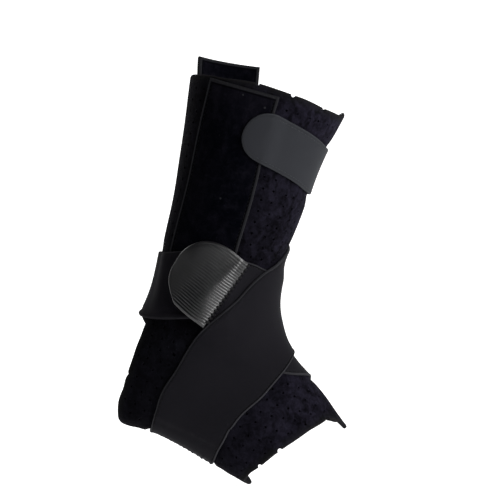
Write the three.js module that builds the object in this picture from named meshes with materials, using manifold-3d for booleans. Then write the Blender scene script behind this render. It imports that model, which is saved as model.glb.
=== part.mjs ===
// A foot immobilizer: a lace-free ankle brace, a boot of perforated wrap open at the toes and the heel,
// held by two crossing straps, a band behind the ankle and a strap round the shin.
// Millimetres, +Z up, X towards the toes, the left (lateral) side of the brace towards -Y.
// The origin is the centre of the ankle that the brace closes round.
import * as THREE from "three";
import { mergeVertices } from "three/addons/utils/BufferGeometryUtils.js";
import Module from "manifold-3d";

const wasm = await Module();
wasm.setup();

// Driving dimensions of the hollow form
const LEG_RISE = 188; // ankle centre up to the back of the top rim
const LEG_REACH = 91.5; // ankle centre forward to the front of the top rim, as the shin leans
const LEG_HALF_WIDTH = 50.5; // half the width at the top rim
const FOOT_DROP = 104.5; // ankle centre down to the front end of the sole
const FOOT_REACH = 91.5; // ankle centre forward to the foot rim
const FOOT_HALF_WIDTH = 42; // half the width at the foot rim

// Driving dimensions of the pieces
const WRAP_WALL = 3;
const PANEL_WIDTH = 50;
const PANEL_TAPER = 0.925; // how wide a panel is at its lower end, as a share of its width
const PANEL_THICKNESS = 3.6;
const BAND_WIDTH = 47;
const BAND_THICKNESS = 2.2;
const STRAP_WIDTH = 61;
const STRAP_THICKNESS = 2;
const SHIN_STRAP_WIDTH = 34.5;
const SHIN_STRAP_THICKNESS = 2;
const SHIN_STRAP_CORNER = 16.5; // radius of the corners of its free end
const TAB_WIDTH = 52.7;
const TAB_DEPTH = 38.7; // from the tab's straight edge to the top of its arc
const TAB_CORNER = 23; // radius of the corners of its round end
const TAB_THICKNESS = 2;
const TAB_SEAM = 9; // how far a strap's end runs in under its tab
const NOTCH_RADIUS = 1.7; // a perforation that the rim's cut runs through
const LAYER_GAP = 0.7; // clear space between one layer and the next

// How a layer comes down from the edge of what lies under it
const DRAPE_MARGIN = 8; // it stays at full height this far past the edge
const DRAPE_RUN = 11; // and is down again after this much more

// Fineness of the meshes
const WRAP_ROWS = 25;
const WRAP_COLUMNS = 44;
const CELL = 7.3; // the longest side of a cell of a strap, band or panel
const WALK_STEP = 3; // a distance over the curved form is walked in steps no longer than this
const ROUTE_SAMPLES = 40; // places measured between one row of a route and the next
const CORNER_TURNS = [5, 16, 30, 45, 60, 75, 90]; // degrees round a corner, from the tip
const HEEL_COLUMNS = 10;
const HEEL_CUT = 2.5 * WRAP_WALL; // how far the heel's cut reaches to each side of the wrap's outside
const NOTCH_SIDES = 8;

// Sections of the hollow form, from the top rim to the foot rim. Each is an egg round the line from its
// front point to its back point. The lengths are shares of the leg's sizes, then of the foot's.
const COLUMNS = ["frontX", "frontZ", "backX", "backZ", "half", "egg", "frontPower", "backPower"];
const LEG_SECTIONS = [
  [1.02, 0.827, -0.153, 1.0, 1.0, -0.06, 2.1, 2.2],
  [0.808, 0.622, -0.214, 0.771, 0.911, -0.05, 2.1, 2.2],
  [0.68, 0.447, -0.28, 0.553, 0.812, -0.03, 2.1, 2.15],
  [0.557, 0.303, -0.372, 0.335, 0.743, 0.0, 2.1, 2.1],
  [0.486, 0.17, -0.454, 0.165, 0.723, 0.04, 2.1, 2.05],
];
const FOOT_SECTIONS = [
  [0.478, 0.163, -0.601, 0.029, 0.893, 0.05, 2.1, 2.1],
  [0.497, 0.067, -0.765, -0.23, 0.893, 0.05, 2.1, 2.15],
  [0.528, -0.029, -0.809, -0.421, 0.881, 0.0, 2.1, 2.2],
  [0.581, -0.124, -0.656, -0.584, 0.869, -0.03, 2.1, 2.3],
  [0.65, -0.211, -0.402, -0.645, 0.881, -0.07, 2.1, 2.55],
  [0.741, -0.297, -0.156, -0.748, 0.917, -0.1, 2.1, 2.6],
  [0.859, -0.416, 0.068, -0.864, 0.952, -0.12, 2.1, 2.65],
  [1.0, -0.574, 0.295, -1.0, 1.0, -0.13, 2.1, 2.7],
];

// Where the wrap is cut off at its two rims: degrees round from the front, lateral side positive,
// and how far down the form the top rim and the foot rim lie there.
const RIMS = [
  [-180, 0.012, 1.0],
  [-150, 0.004, 0.98],
  [-120, -0.001, 0.964],
  [-90, -0.002, 0.958],
  [-45, -0.001, 0.963],
  [-20, 0.004, 0.992],
  [-8, 0.0, 1.012],
  [4, 0.003, 1.02],
  [18, 0.008, 0.99],
  [40, 0.008, 0.965],
  [65, 0.005, 0.959],
  [95, 0.004, 0.958],
  [130, 0.01, 0.965],
  [155, 0.012, 0.977],
  [180, 0.012, 1.0],
];

// The open heel: how far down the form, and the half angle that is open there, round from the back.
const HEEL_OPENING = [
  [0.4, 31],
  [0.425, 35],
  [0.45, 37.5],
  [0.48, 41],
  [0.515, 43],
  [0.545, 43],
  [0.572, 41],
  [0.6, 33.5],
  [0.625, 25.5],
  [0.645, 17],
  [0.66, 9.5],
  [0.668, 4],
];

// Perforations that a rim cuts through: which rim, and degrees round.
const NOTCHES = [
  ["top", 98],
  ["top", 71],
  ["top", 43],
  ["top", -60],
  ["top", -112],
  ["foot", 121],
  ["foot", 96],
  ["foot", 36],
  ["foot", -52],
  ["foot", -105],
];

// Routes of the middle lines over the form: how far down it, and degrees round.
const LATERAL_PANEL_ROUTE = [
  [0.014, 106.4],
  [0.13, 107.5],
  [0.254, 109.5],
  [0.33, 108],
  [0.388, 105],
];
const MEDIAL_PANEL_ROUTE = [
  [-0.028, -125.5],
  [0.1, -118],
  [0.254, -110],
  [0.33, -106],
  [0.388, -102],
];
const BAND_ROUTE = [
  [0.319, 103],
  [0.324, 130],
  [0.324, 158],
  [0.321, 180],
  [0.321, 202],
  [0.31, 230],
  [0.291, 257],
];
// From the middle of the sole up the lateral side, over the instep, to the tab on the medial side
const LATERAL_STRAP_ROUTE = [
  [0.81, 179.3],
  [0.81, 164],
  [0.803, 149],
  [0.784, 135],
  [0.757, 121],
  [0.722, 108],
  [0.694, 97],
  [0.664, 86],
  [0.634, 75.5],
  [0.599, 64],
  [0.536, 45.5],
  [0.45, 23],
  [0.379, 0],
  [0.328, -21],
  [0.295, -42],
  [0.275, -62],
  [0.262, -80],
  [0.251, -98],
  [0.241, -116],
  [0.231, -134],
];
// From the middle of the sole up the medial side, over the instep, to the tab on the lateral side
const MEDIAL_STRAP_ROUTE = [
  [0.81, -179.3],
  [0.81, -164],
  [0.812, -146],
  [0.812, -122],
  [0.801, -98],
  [0.769, -73],
  [0.708, -48],
  [0.634, -23],
  [0.557, 2],
  [0.468, 26],
  [0.397, 50],
  [0.3495, 74.5],
  [0.327, 88],
  [0.3005, 103],
  [0.282, 119],
  [0.267, 135],
];
const SHIN_STRAP_ROUTE = [
  [0.0605, 97.2],
  [0.0695, 78],
  [0.0755, 58],
  [0.0825, 36],
  [0.088, 17],
  [0.088, -10],
  [0.085, -40],
  [0.08, -70],
  [0.077, -95],
  [0.076, -122],
];
const STRAP_LENGTH = 206; // along a strap's middle line, from the sole to the straight edge of its tab
// Distances from the middle of the sole, and how wide a strap is there as a share of its width
const STRAP_FLARE = [
  [25, 0.82],
  [60, 0.89],
  [90, 1.02],
  [120, 1],
  [145, 1.11],
  [165, 1.07],
  [195, 0.945],
  [215, 0.85],
];
const SOLE_STRETCH = 55; // the stretch, from the sole, in which the two straps lie side by side
const SOLE_ROWS = Math.ceil(SOLE_STRETCH / CELL);

// Colours as three.js numbers
const PALETTE = {
  wrap: { color: 0x15141a, roughness: 0.95, metalness: 0 },
  panel: { color: 0x17161d, roughness: 0.95, metalness: 0 },
  strap: { color: 0x1e1e20, roughness: 0.8, metalness: 0 },
  shinStrap: { color: 0x3a3b3e, roughness: 0.7, metalness: 0 },
  tab: { color: 0x222426, roughness: 0.4, metalness: 0 },
};

// Columns of numbers joined by natural cubic splines, one value per row at 0, 1, 2, ...
function splineOf(rows) {
  const last = rows.length - 1;
  const bends = rows[0].map((_, column) => {
    const ratio = [0];
    const bend = [0];
    for (let i = 1; i < last; i++) {
      const turn = 6 * (rows[i - 1][column] - 2 * rows[i][column] + rows[i + 1][column]);
      const pivot = 4 - ratio[i - 1];
      ratio.push(1 / pivot);
      bend.push((turn - bend[i - 1]) / pivot);
    }
    bend.push(0);
    for (let i = last - 1; i > 0; i--) bend[i] -= ratio[i] * bend[i + 1];
    return bend;
  });
  return (place) => {
    const i = THREE.MathUtils.clamp(Math.floor(place), 0, last - 1);
    const f = place - i;
    const g = 1 - f;
    const value = (column) =>
      g * rows[i][column] +
      f * rows[i + 1][column] +
      ((g ** 3 - g) * bends[column][i] + (f ** 3 - f) * bends[column][i + 1]) / 6;
    return rows[0].map((_, column) => value(column));
  };
}

// A table's second and later columns at a value of its first, eased from row to row
function lookUp(table, key) {
  let i = 0;
  while (i < table.length - 2 && key > table[i + 1][0]) i++;
  const [above, below] = [table[i], table[i + 1]];
  const share = THREE.MathUtils.smoothstep(key, above[0], below[0]);
  return above.slice(1).map((value, column) => THREE.MathUtils.lerp(value, below[column + 1], share));
}

// The sections in millimetres
const SECTIONS = [
  ...LEG_SECTIONS.map((row) => inMillimetres(row, LEG_REACH, LEG_RISE, LEG_HALF_WIDTH)),
  ...FOOT_SECTIONS.map((row) => inMillimetres(row, FOOT_REACH, FOOT_DROP, FOOT_HALF_WIDTH)),
];
const sectionAt = splineOf(SECTIONS);

function inMillimetres(row, reach, height, half) {
  const units = { frontX: reach, backX: reach, frontZ: height, backZ: height, half };
  return row.map((share, column) => share * (units[COLUMNS[column]] ?? 1));
}

// A point on the outside of the wrap: down is 0 at the top rim and 1 at the foot rim
function formPoint(down, degrees) {
  const section = sectionAt(down * (SECTIONS.length - 1));
  const [frontX, frontZ, backX, backZ, half, egg, frontPower, backPower] = section;
  const cos = Math.cos(THREE.MathUtils.degToRad(degrees));
  const sin = Math.sin(THREE.MathUtils.degToRad(degrees));
  const power = cos > 0 ? frontPower : backPower;
  const radius = (Math.abs(cos) ** power + Math.abs(sin) ** power) ** (-1 / power);
  const along = radius * cos;
  const across = radius * sin * (1 + egg * cos);
  return new THREE.Vector3(
    (frontX + backX) / 2 + ((frontX - backX) / 2) * along,
    -half * across,
    (frontZ + backZ) / 2 + ((frontZ - backZ) / 2) * along,
  );
}

// The same point with the surface's two directions and its outward normal
function formFrame(down, degrees) {
  const downStep = 1e-3;
  const turnStep = 0.25;
  const byDown = formPoint(down + downStep, degrees).sub(formPoint(down - downStep, degrees));
  const byTurn = formPoint(down, degrees + turnStep).sub(formPoint(down, degrees - turnStep));
  byDown.divideScalar(2 * downStep);
  byTurn.divideScalar(2 * turnStep);
  const normal = new THREE.Vector3().crossVectors(byTurn, byDown).normalize();
  return { point: formPoint(down, degrees), byDown, byTurn, normal };
}

// The place reached by walking straight over the form, from a place, in a heading, for a distance
function walk(place, heading, distance) {
  const steps = Math.max(1, Math.ceil(Math.abs(distance) / WALK_STEP));
  const stride = distance / steps;
  const ahead = heading.clone();
  let [down, degrees] = place;
  for (let k = 0; k < steps; k++) {
    const { byDown, byTurn, normal } = formFrame(down, degrees);
    ahead.addScaledVector(normal, -ahead.dot(normal)).normalize();
    const dd = byDown.dot(byDown);
    const dt = byDown.dot(byTurn);
    const tt = byTurn.dot(byTurn);
    const u = byDown.dot(ahead) * stride;
    const v = byTurn.dot(ahead) * stride;
    const determinant = dd * tt - dt * dt;
    down += (tt * u - dt * v) / determinant;
    degrees += (dd * v - dt * u) / determinant;
  }
  return [down, degrees];
}

// A route as a list of places with their distance along it
function measured(route) {
  const smooth = splineOf(route);
  const samples = ROUTE_SAMPLES * (route.length - 1);
  const places = [];
  let length = 0;
  for (let k = 0; k <= samples; k++) {
    const place = smooth((k / samples) * (route.length - 1));
    const point = formPoint(...place);
    if (k > 0) length += point.distanceTo(places[k - 1].point);
    places.push({ place, point, length });
  }
  return places;
}

function placeAlong(places, distance) {
  let k = 1;
  while (k < places.length - 1 && places[k].length < distance) k++;
  const before = places[k - 1];
  const after = places[k];
  const share = (distance - before.length) / (after.length - before.length);
  return before.place.map((value, i) => THREE.MathUtils.lerp(value, after.place[i], share));
}

// Places under a ribbon that follows a route: one row per station, each with its half width there
function ribbonPlaces(route, stations) {
  const places = measured(route);
  const widest = Math.max(...stations.map((station) => station.half));
  const columns = 2 * Math.ceil(widest / CELL);
  return stations.map(({ distance, half }) => {
    const place = placeAlong(places, distance);
    const next = formPoint(...placeAlong(places, distance + 1));
    const { point, normal } = formFrame(...place);
    const across = new THREE.Vector3().crossVectors(normal, next.sub(point)).normalize();
    return Array.from({ length: columns + 1 }, (_, j) => walk(place, across, half * ((2 * j) / columns - 1)));
  });
}

// Stations of a ribbon with square ends
function squareStations(from, to, width) {
  const count = Math.ceil((to - from) / CELL);
  return Array.from({ length: count + 1 }, (_, i) => ({
    distance: from + ((to - from) * i) / count,
    half: width / 2,
  }));
}

// Stations of a rounded end: an arc of the given radius, from its tip at tip, towards sign
function roundStations(tip, sign, radius, width, reach) {
  return CORNER_TURNS.map(THREE.MathUtils.degToRad)
    .map((turn) => ({
      distance: tip - sign * radius * (1 - Math.cos(turn)),
      half: Math.max(0, width / 2 - radius) + radius * Math.sin(turn),
    }))
    .filter((station) => Math.abs(station.distance - tip) < reach);
}

// How high a piece lies over the form at a point, to clear the layers that are already laid there
function clearHeight(point, layers) {
  let height = LAYER_GAP;
  for (const layer of layers) {
    for (const cell of layer) {
      const past = point.distanceTo(cell.point) - DRAPE_MARGIN;
      if (past > DRAPE_RUN) continue;
      const share = 1 - THREE.MathUtils.smoothstep(past, 0, DRAPE_RUN);
      height = Math.max(height, share * (cell.top + LAYER_GAP));
    }
  }
  return height;
}

// A ribbon laid over the form and over the layers below it. Nothing is laid over its first bareRows.
function layRibbon(rows, thickness, layers, bareRows) {
  const layer = [];
  const grid = rows.map((row, i) =>
    row.map((place) => {
      const { point, normal } = formFrame(...place);
      const height = clearHeight(point, layers);
      if (i >= bareRows) layer.push({ point, top: height + thickness });
      return {
        inner: point.clone().addScaledVector(normal, height),
        outer: point.clone().addScaledVector(normal, height + thickness),
      };
    }),
  );
  return { layer, geometry: closedSheet(grid, false) };
}

// A closed sheet from a grid of inner and outer points, joined into a ring where it goes all round
function closedSheet(grid, ring) {
  const rows = grid.length;
  const columns = grid[0].length;
  const points = grid.flat().flatMap((cell) => [cell.outer, cell.inner]);
  const at = (i, j, side) => 2 * (i * columns + (j % columns)) + side;
  const faces = [];
  const quad = (a, b, c, d) => faces.push(a, b, c, a, c, d);
  const cells = ring ? columns : columns - 1;
  for (let j = 0; j < cells; j++) {
    for (let i = 0; i < rows - 1; i++) {
      quad(at(i, j, 0), at(i + 1, j, 0), at(i + 1, j + 1, 0), at(i, j + 1, 0));
      quad(at(i, j, 1), at(i, j + 1, 1), at(i + 1, j + 1, 1), at(i + 1, j, 1));
    }
    quad(at(0, j, 0), at(0, j + 1, 0), at(0, j + 1, 1), at(0, j, 1));
    quad(at(rows - 1, j, 0), at(rows - 1, j, 1), at(rows - 1, j + 1, 1), at(rows - 1, j + 1, 0));
  }
  for (let i = 0; !ring && i < rows - 1; i++) {
    quad(at(i, 0, 0), at(i, 0, 1), at(i + 1, 0, 1), at(i + 1, 0, 0));
    quad(at(i, cells, 0), at(i + 1, cells, 0), at(i + 1, cells, 1), at(i, cells, 1));
  }
  return facingOut(points, faces);
}

// A geometry from points and faces, turned so that its faces point outwards
function facingOut(points, faces) {
  let volume = 0;
  for (let k = 0; k < faces.length; k += 3) {
    const [a, b, c] = [points[faces[k]], points[faces[k + 1]], points[faces[k + 2]]];
    volume += a.dot(new THREE.Vector3().crossVectors(b, c));
  }
  if (volume < 0) faces.reverse();
  const geometry = new THREE.BufferGeometry().setFromPoints(points);
  geometry.setIndex(faces);
  return geometry;
}

// Joining and cutting
function solidOf(geometry) {
  const bare = geometry.clone();
  bare.deleteAttribute("normal");
  bare.deleteAttribute("uv");
  const merged = mergeVertices(bare);
  const vertProperties = merged.attributes.position.array;
  const triVerts = new Uint32Array(merged.index.array);
  return new wasm.Manifold(new wasm.Mesh({ numProp: 3, vertProperties, triVerts }));
}

function geometryOf(solid) {
  const mesh = solid.getMesh();
  const geometry = new THREE.BufferGeometry();
  geometry.setAttribute("position", new THREE.BufferAttribute(mesh.vertProperties, mesh.numProp));
  geometry.setIndex(new THREE.BufferAttribute(mesh.triVerts, 1));
  return geometry;
}

// The wrap: a boot-shaped tube with an open heel and notched rims
function wrapShell() {
  const turns = Array.from({ length: WRAP_COLUMNS }, (_, j) => (360 * j) / WRAP_COLUMNS - 180);
  const grid = Array.from({ length: WRAP_ROWS + 1 }, (_, i) =>
    turns.map((degrees) => {
      const [top, foot] = lookUp(RIMS, degrees);
      const { point, normal } = formFrame(THREE.MathUtils.lerp(top, foot, i / WRAP_ROWS), degrees);
      return { outer: point, inner: point.clone().addScaledVector(normal, -WRAP_WALL) };
    }),
  );
  let shell = solidOf(closedSheet(grid, true)).subtract(solidOf(heelCutter()));
  for (const [rim, degrees] of NOTCHES) shell = shell.subtract(solidOf(notchCutter(rim, degrees)));
  return geometryOf(shell);
}

// A block of the heel opening's outline, through the wall
function heelCutter() {
  const grid = HEEL_OPENING.map(([down, open]) =>
    Array.from({ length: HEEL_COLUMNS + 1 }, (_, j) => {
      const { point, normal } = formFrame(down, 180 + open * ((2 * j) / HEEL_COLUMNS - 1));
      return {
        outer: point.clone().addScaledVector(normal, HEEL_CUT),
        inner: point.clone().addScaledVector(normal, -HEEL_CUT),
      };
    }),
  );
  return closedSheet(grid, false);
}

// A round perforation through the wall, with its middle on the rim
function notchCutter(rim, degrees) {
  const [top, foot] = lookUp(RIMS, degrees);
  const { point, normal } = formFrame(rim === "top" ? top : foot, degrees);
  const cutter = new THREE.CylinderGeometry(NOTCH_RADIUS, NOTCH_RADIUS, 4 * WRAP_WALL, NOTCH_SIDES);
  cutter.applyQuaternion(new THREE.Quaternion().setFromUnitVectors(new THREE.Vector3(0, 1, 0), normal));
  return cutter.translate(point.x, point.y, point.z);
}

// The panels that hold the side stays
function panelPlaces(route) {
  const length = measured(route).at(-1).length;
  const stations = squareStations(0, length, PANEL_WIDTH);
  for (const station of stations) {
    station.half *= THREE.MathUtils.lerp(1, PANEL_TAPER, station.distance / length);
  }
  return ribbonPlaces(route, stations);
}

function bandPlaces() {
  const length = measured(BAND_ROUTE).at(-1).length;
  return ribbonPlaces(BAND_ROUTE, squareStations(0, length, BAND_WIDTH));
}

// A crossing strap, from the middle of the sole to under its tab
function strapPlaces(route) {
  const stations = squareStations(0, STRAP_LENGTH + TAB_SEAM, STRAP_WIDTH);
  for (const station of stations) station.half *= lookUp(STRAP_FLARE, station.distance)[0];
  return ribbonPlaces(route, stations);
}

// A ribbed tab: a straight edge across the strap's end, parallel sides, and a half round end
function tabPlaces(route) {
  const tip = STRAP_LENGTH + TAB_DEPTH;
  const arc = roundStations(tip, 1, TAB_CORNER, TAB_WIDTH, TAB_CORNER).reverse();
  return ribbonPlaces(route, [...squareStations(STRAP_LENGTH, tip - TAB_CORNER, TAB_WIDTH), ...arc]);
}

// The strap round the shin: a rounded free end on the lateral side, a sewn end on the medial panel
function shinStrapPlaces() {
  const length = measured(SHIN_STRAP_ROUTE).at(-1).length;
  const free = roundStations(0, -1, SHIN_STRAP_CORNER, SHIN_STRAP_WIDTH, SHIN_STRAP_CORNER);
  const rest = squareStations(SHIN_STRAP_CORNER, length, SHIN_STRAP_WIDTH);
  return ribbonPlaces(SHIN_STRAP_ROUTE, [...free, ...rest]);
}

// The assembly, layer by layer
const brace = new THREE.Group();
const laid = [];

function add(name, geometry, finish) {
  const mesh = new THREE.Mesh(geometry, new THREE.MeshStandardMaterial(PALETTE[finish]));
  mesh.name = name;
  brace.add(mesh);
}

function lay(name, places, thickness, finish, bareRows = 0) {
  const { layer, geometry } = layRibbon(places, thickness, laid, bareRows);
  laid.push(layer);
  add(name, geometry, finish);
}

add("wrap_shell", wrapShell(), "wrap");
lay("lateral_stay_panel", panelPlaces(LATERAL_PANEL_ROUTE), PANEL_THICKNESS, "panel");
lay("medial_stay_panel", panelPlaces(MEDIAL_PANEL_ROUTE), PANEL_THICKNESS, "panel");
lay("achilles_band", bandPlaces(), BAND_THICKNESS, "strap");
lay("medial_strap", strapPlaces(MEDIAL_STRAP_ROUTE), STRAP_THICKNESS, "strap", SOLE_ROWS);
lay("lateral_strap", strapPlaces(LATERAL_STRAP_ROUTE), STRAP_THICKNESS, "strap");
lay("lateral_hook_tab", tabPlaces(MEDIAL_STRAP_ROUTE), TAB_THICKNESS, "tab");
lay("medial_hook_tab", tabPlaces(LATERAL_STRAP_ROUTE), TAB_THICKNESS, "tab");
lay("shin_strap", shinStrapPlaces(), SHIN_STRAP_THICKNESS, "shinStrap");

export default brace;
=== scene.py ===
"""A foot immobilizer: an ankle brace of perforated velour, held by crossing straps.

Lengths are in millimetres until a mesh is made, and Blender's meshes are in metres.
X points to the toes, -Y to the lateral side and Z up. The origin is the centre of the ankle.
"""

import bpy
import numpy as np
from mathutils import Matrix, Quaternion, Vector
from mathutils.kdtree import KDTree


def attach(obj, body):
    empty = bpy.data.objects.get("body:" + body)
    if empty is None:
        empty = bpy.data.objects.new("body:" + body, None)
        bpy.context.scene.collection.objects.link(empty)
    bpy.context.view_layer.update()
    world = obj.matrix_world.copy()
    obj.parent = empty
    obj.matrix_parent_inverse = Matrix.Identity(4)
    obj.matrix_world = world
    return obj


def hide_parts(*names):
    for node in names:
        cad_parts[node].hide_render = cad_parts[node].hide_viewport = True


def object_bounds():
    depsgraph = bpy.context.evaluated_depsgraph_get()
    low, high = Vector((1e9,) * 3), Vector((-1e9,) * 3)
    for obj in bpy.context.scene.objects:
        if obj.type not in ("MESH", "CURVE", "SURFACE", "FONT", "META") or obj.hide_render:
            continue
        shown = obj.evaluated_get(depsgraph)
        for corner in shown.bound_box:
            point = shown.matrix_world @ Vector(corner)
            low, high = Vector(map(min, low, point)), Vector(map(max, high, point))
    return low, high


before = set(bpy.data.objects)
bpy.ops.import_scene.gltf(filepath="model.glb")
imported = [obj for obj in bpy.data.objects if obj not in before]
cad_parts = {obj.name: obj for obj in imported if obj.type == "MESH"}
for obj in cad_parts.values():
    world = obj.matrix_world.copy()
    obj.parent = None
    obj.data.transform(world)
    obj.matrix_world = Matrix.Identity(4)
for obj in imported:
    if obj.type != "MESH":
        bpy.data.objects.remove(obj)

cad_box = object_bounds()
MM = 0.001

# ---- The form that the brace closes round, as in the part's source ----

LEG_RISE, LEG_REACH, LEG_HALF_WIDTH = 188, 91.5, 50.5
FOOT_DROP, FOOT_REACH, FOOT_HALF_WIDTH = 104.5, 91.5, 42
WRAP_WALL = 3
WRAP_LENGTH = 320  # from rim to rim, for turning shares of the way down into millimetres
RIM_ROUNDING = 1.5
PANEL_WIDTH, PANEL_TAPER, PANEL_THICKNESS = 50, 0.925, 3.6
BAND_WIDTH, BAND_THICKNESS = 47, 2.2
STRAP_WIDTH, STRAP_THICKNESS = 61, 2
SHIN_STRAP_WIDTH, SHIN_STRAP_THICKNESS, SHIN_STRAP_CORNER = 34.5, 2, 16.5
TAB_WIDTH, TAB_DEPTH, TAB_CORNER, TAB_THICKNESS, TAB_SEAM = 52.7, 38.7, 23, 1.3, 9
TAB_BEND, TAB_BEND_RUN = 0.21, 9.0  # how steeply the tab comes down to its straight edge, and from where
TAB_LIFT, TAB_STIFFNESS = 1.0, 36  # the tab's height over the wrap, and how stiffly it spans what it lies on
RIB_PITCH, RIB_RADIUS, RIB_SINK = 1.9, 0.95, 0.42
STRAP_LENGTH, SOLE_STRETCH = 206, 55
LAYER_GAP = 0.25  # clear space between one layer and the next
DRAPE_MARGIN, DRAPE_RUN = 2.2, 7.5  # how a layer comes down past the edge of one below it
PRESS_RUN, SOLE_RUN = 8.5, 3.5  # how far past a piece's edge the foam is back at its full height
MEDIAL_STAND_OFF = 2.2  # how far the medial panel's top end stands off the wrap
PIT_SPACING, PIT_ROW_RISE = 9.0, 7.8
PRESSED_FLAT = 0.7  # foam that is pressed in deeper than this shows no perforations

# Shares of the leg's and the foot's sizes: frontX, frontZ, backX, backZ, half, egg, frontPower, backPower
LEG_SECTIONS = [
    (1.02, 0.827, -0.153, 1.0, 1.0, -0.06, 2.1, 2.2),
    (0.808, 0.622, -0.214, 0.771, 0.911, -0.05, 2.1, 2.2),
    (0.68, 0.447, -0.28, 0.553, 0.812, -0.03, 2.1, 2.15),
    (0.557, 0.303, -0.372, 0.335, 0.743, 0.0, 2.1, 2.1),
    (0.486, 0.17, -0.454, 0.165, 0.723, 0.04, 2.1, 2.05),
]
FOOT_SECTIONS = [
    (0.478, 0.163, -0.601, 0.029, 0.893, 0.05, 2.1, 2.1),
    (0.497, 0.067, -0.765, -0.23, 0.893, 0.05, 2.1, 2.15),
    (0.528, -0.029, -0.809, -0.421, 0.881, 0.0, 2.1, 2.2),
    (0.581, -0.124, -0.656, -0.584, 0.869, -0.03, 2.1, 2.3),
    (0.65, -0.211, -0.402, -0.645, 0.881, -0.07, 2.1, 2.55),
    (0.741, -0.297, -0.156, -0.748, 0.917, -0.1, 2.1, 2.6),
    (0.859, -0.416, 0.068, -0.864, 0.952, -0.12, 2.1, 2.65),
    (1.0, -0.574, 0.295, -1.0, 1.0, -0.13, 2.1, 2.7),
]
# Degrees round from the front, and how far down the form the top rim and the foot rim lie there
RIMS = [
    (-180, 0.012, 1.0), (-150, 0.004, 0.98), (-120, -0.001, 0.964), (-90, -0.002, 0.958),
    (-45, -0.001, 0.963), (-20, 0.004, 0.992), (-8, 0.0, 1.012), (4, 0.003, 1.02),
    (18, 0.008, 0.99), (40, 0.008, 0.965), (65, 0.005, 0.959), (95, 0.004, 0.958),
    (130, 0.01, 0.965), (155, 0.012, 0.977), (180, 0.012, 1.0),
]
# How far down the form, and the half angle that the heel opening has there, round from the back
HEEL_OPENING = [
    (0.4, 31), (0.425, 35), (0.45, 37.5), (0.48, 41), (0.515, 43), (0.545, 43), (0.572, 41),
    (0.6, 33.5), (0.625, 25.5), (0.645, 17), (0.66, 9.5), (0.668, 4),
]
# The rim, and degrees round from the front, of each notch that a perforation leaves in a rim
NOTCHES = [
    ("top", 98), ("top", 71), ("top", 43), ("top", -60), ("top", -112), ("foot", 121), ("foot", 96),
    ("foot", 36), ("foot", -52), ("foot", -105),
]
# Middle lines of the pieces over the form: how far down it, and degrees round
LATERAL_PANEL_ROUTE = [(0.014, 106.4), (0.13, 107.5), (0.254, 109.5), (0.33, 108), (0.388, 105)]
MEDIAL_PANEL_ROUTE = [(-0.028, -125.5), (0.1, -118), (0.254, -110), (0.33, -106), (0.388, -102)]
BAND_ROUTE = [
    (0.319, 103), (0.324, 130), (0.324, 158), (0.321, 180), (0.321, 202), (0.31, 230), (0.291, 257),
]
LATERAL_STRAP_ROUTE = [
    (0.81, 179.3), (0.81, 164), (0.803, 149), (0.784, 135), (0.757, 121), (0.722, 108), (0.694, 97),
    (0.664, 86), (0.634, 75.5), (0.599, 64), (0.536, 45.5), (0.45, 23), (0.379, 0), (0.328, -21),
    (0.295, -42), (0.275, -62), (0.262, -80), (0.251, -98), (0.241, -116), (0.231, -134),
]
MEDIAL_STRAP_ROUTE = [
    (0.81, -179.3), (0.81, -164), (0.812, -146), (0.812, -122), (0.801, -98), (0.769, -73),
    (0.708, -48), (0.634, -23), (0.557, 2), (0.468, 26), (0.397, 50), (0.3495, 74.5), (0.327, 88),
    (0.3005, 103), (0.282, 119), (0.267, 135),
]
SHIN_STRAP_ROUTE = [
    (0.0605, 97.2), (0.0695, 78), (0.0755, 58), (0.0825, 36), (0.088, 17), (0.088, -10), (0.085, -40),
    (0.08, -70), (0.077, -95), (0.076, -122),
]

# Distances from the middle of the sole, and how wide a crossing strap is there as a share of its width
STRAP_FLARE = [
    (25, 0.82), (60, 0.89), (90, 1.02), (120, 1), (145, 1.11), (165, 1.07), (195, 0.945),
    (215, 0.85),
]
# How far down the form, and how much fuller the foam stands there at the front, and at the back and sole
FULLNESS = [
    (0, 0.7, 0.2), (0.1, 0.9, 0.3), (0.35, 0.5, 0.3), (0.61, 0.6, 0.3), (0.65, 0.8, 1.9), (0.69, 1.1, 1.0),
    (0.72, 1.3, 1.4), (0.79, 1.4, 2.7), (0.9, 1.3, 2.7), (1.0, 0.3, 0.6),
]
# Radii and heights from the wrap's outside, from the top down
PIT_PROFILE = [(1.3, 1.0), (0.98, 0.05), (0.78, -0.2), (0.66, -0.6), (0.58, -1.4)]
NOTCH_PROFILE = [(2.1, 5), (2.0, -0.2), (1.7, -0.9), (1.7, -2.4), (2.0, -3.4), (2.1, -7)]
# Heights from the wrap's outside, and how far the heel opening's cut lies outside its outline there
OPENING_CUT = [
    (8, 0.4), (0.0, 0.1), (-0.4, -0.5), (-0.9, -0.9), (-1.5, -1.1), (-2.1, -1.0), (-2.7, -0.6), (-3.2, 0),
    (-8, 0.4),
]


def natural_spline(rows):
    """Columns of numbers joined by natural cubic splines, one row at 0, 1, 2, ..."""
    rows = np.array(rows, float)
    last = len(rows) - 1
    system = np.eye(last + 1)
    turns = np.zeros_like(rows)
    for i in range(1, last):
        system[i, i - 1 : i + 2] = 1, 4, 1
        turns[i] = 6 * (rows[i - 1] - 2 * rows[i] + rows[i + 1])
    bends = np.linalg.solve(system, turns)

    def at(place):
        place = np.asarray(place, float)
        i = np.clip(np.floor(place).astype(int), 0, last - 1)
        f = (place - i)[..., None]
        g = 1 - f
        return g * rows[i] + f * rows[i + 1] + ((g**3 - g) * bends[i] + (f**3 - f) * bends[i + 1]) / 6

    return at


def eased(x, low, high):
    """0 up to low and 1 from high, with a smooth step between."""
    share = np.clip((np.asarray(x, float) - low) / (high - low), 0, 1)
    return share * share * (3 - 2 * share)


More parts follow.
